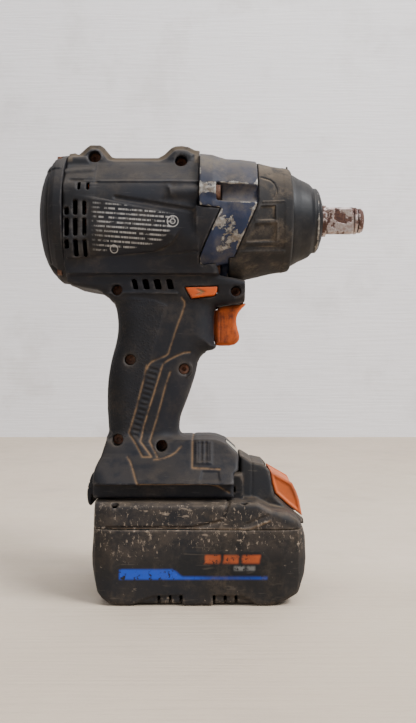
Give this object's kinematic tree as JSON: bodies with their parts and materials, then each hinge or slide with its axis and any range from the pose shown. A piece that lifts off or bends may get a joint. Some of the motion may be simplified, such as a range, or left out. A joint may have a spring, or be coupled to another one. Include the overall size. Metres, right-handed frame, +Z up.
{
  "type": "cordless impact wrench",
  "caption": "Cordless impact wrench with square drive, rubber-booted hammer case, pistol grip with trigger and a slide-on battery pack.",
  "frame": {"origin": "centre of the bounding box on the table, under the battery", "axes": "+X along the drive axis towards the square drive, +Y to the tool's left, +Z up"},
  "size_m": [0.1582, 0.076, 0.215],
  "materials": {
    "housing_plastic": "satin moulded, dusty",
    "battery_plastic": "matt moulded, scuffed",
    "cast_aluminium": "painted with bare chips",
    "rubber": "matt, dusty",
    "steel": "machined, some rust",
    "bronze": "sintered",
    "electrical_steel": "laminated",
    "magnet": "plated",
    "copper": "enamelled",
    "red_plastic": "moulded",
    "orange_plastic": "moulded, worn",
    "circuit_board": "coated",
    "clear_plastic": "frosted",
    "brass": "plated",
    "cell": "sleeved",
    "pale_plastic": "moulded",
    "nickel": "plated"
  },
  "bodies": {
    "housing": {"right_housing": "housing_plastic", "left_housing": "housing_plastic", "rear_cap": "housing_plastic", "cap_screws": "steel", "housing_screws": "steel", "foot_bumper": "rubber", "hammer_case": "cast_aluminium", "case_screws": "steel", "front_boot": "rubber", "anvil_bushing": "bronze", "anvil_washer": "steel", "ring_gear": "steel", "motor_plate": "cast_aluminium", "front_bearing": "steel", "rear_bearing": "steel", "stator_core": "electrical_steel", "stator_insulator": "red_plastic", "stator_coils": "copper", "sensor_board": "circuit_board", "switch_body": "housing_plastic", "control_board": "circuit_board", "heat_sink": "cast_aluminium", "led_board": "circuit_board", "led_lens": "clear_plastic", "terminal_block": "housing_plastic", "terminal_blades": "brass"},
    "rotor": {"rotor_shaft": "steel", "rotor_core": "electrical_steel", "rotor_magnets": "magnet", "cooling_fan": "housing_plastic"},
    "spindle": {"camshaft": "steel", "planet_pins": "steel", "cam_balls": "steel", "spring_washer": "steel", "hammer_spring": "steel"},
    "planet_1": {"planet_gear_1": "steel"},
    "planet_2": {"planet_gear_2": "steel"},
    "planet_3": {"planet_gear_3": "steel"},
    "hammer": {"hammer": "steel"},
    "anvil": {"anvil": "steel", "friction_ring": "steel", "o_ring": "rubber"},
    "trigger": {"trigger": "orange_plastic", "trigger_spring": "steel"},
    "direction": {"direction_button": "orange_plastic"},
    "battery": {"battery_upper_case": "battery_plastic", "battery_lower_case": "battery_plastic", "battery_cells": "cell", "cell_holders": "pale_plastic", "cell_strips": "nickel", "battery_board": "circuit_board", "battery_contacts": "brass", "battery_screws": "steel", "latch_springs": "steel"},
    "latch": {"battery_latch": "orange_plastic"}
  },
  "joints": [
    {"name": "spindle_spin", "type": "hinge", "parent": "housing", "child": "spindle", "pos_m": [0, 0, 0.1795], "axis": [1, 0, 0], "continuous": true},
    {"name": "rotor_spin", "type": "hinge", "parent": "housing", "child": "rotor", "pos_m": [-0.04, 0, 0.1795], "axis": [1, 0, 0], "continuous": true},
    {"name": "anvil_spin", "type": "hinge", "parent": "housing", "child": "anvil", "pos_m": [0.05, 0, 0.1795], "axis": [1, 0, 0], "continuous": true},
    {"name": "planet_1_spin", "type": "hinge", "parent": "spindle", "child": "planet_1", "pos_m": [-0.0075, 0, 0.1915], "axis": [1, 0, 0], "continuous": true},
    {"name": "planet_2_spin", "type": "hinge", "parent": "spindle", "child": "planet_2", "pos_m": [-0.0075, -0.01039, 0.1735], "axis": [1, 0, 0], "continuous": true},
    {"name": "planet_3_spin", "type": "hinge", "parent": "spindle", "child": "planet_3", "pos_m": [-0.0075, 0.01039, 0.1735], "axis": [1, 0, 0], "continuous": true},
    {"name": "hammer_slide", "type": "slide", "parent": "spindle", "child": "hammer", "axis": [-1, 0, 0], "range_m": [0, 0.008], "stiffness_N_per_m": 3000, "springref_m": -0.002, "deforming": ["hammer_spring"]},
    {"name": "trigger_slide", "type": "slide", "parent": "housing", "child": "trigger", "axis": [-1, 0, 0], "range_m": [0, 0.0055], "stiffness_N_per_m": 500, "springref_m": -0.001, "deforming": ["trigger_spring"]},
    {"name": "direction_slide", "type": "slide", "parent": "housing", "child": "direction", "axis": [0, 1, 0], "range_m": [-0.003, 0.003]},
    {"name": "battery_slide", "type": "slide", "parent": "housing", "child": "battery", "axis": [1, 0, 0], "range_m": [0, 0.1]},
    {"name": "latch_press", "type": "slide", "parent": "battery", "child": "latch", "axis": [-0.6402, 0, -0.7682], "range_m": [0, 0.002], "stiffness_N_per_m": 1500, "springref_m": -0.001, "deforming": ["latch_springs"]}
  ],
  "couplings": [
    {"joint": "rotor_spin", "follows": "spindle_spin", "ratio": 5},
    {"joint": "anvil_spin", "follows": "spindle_spin", "ratio": 1},
    {"joint": "planet_1_spin", "follows": "spindle_spin", "ratio": -2.6667},
    {"joint": "planet_2_spin", "follows": "spindle_spin", "ratio": -2.6667},
    {"joint": "planet_3_spin", "follows": "spindle_spin", "ratio": -2.6667}
  ]
}
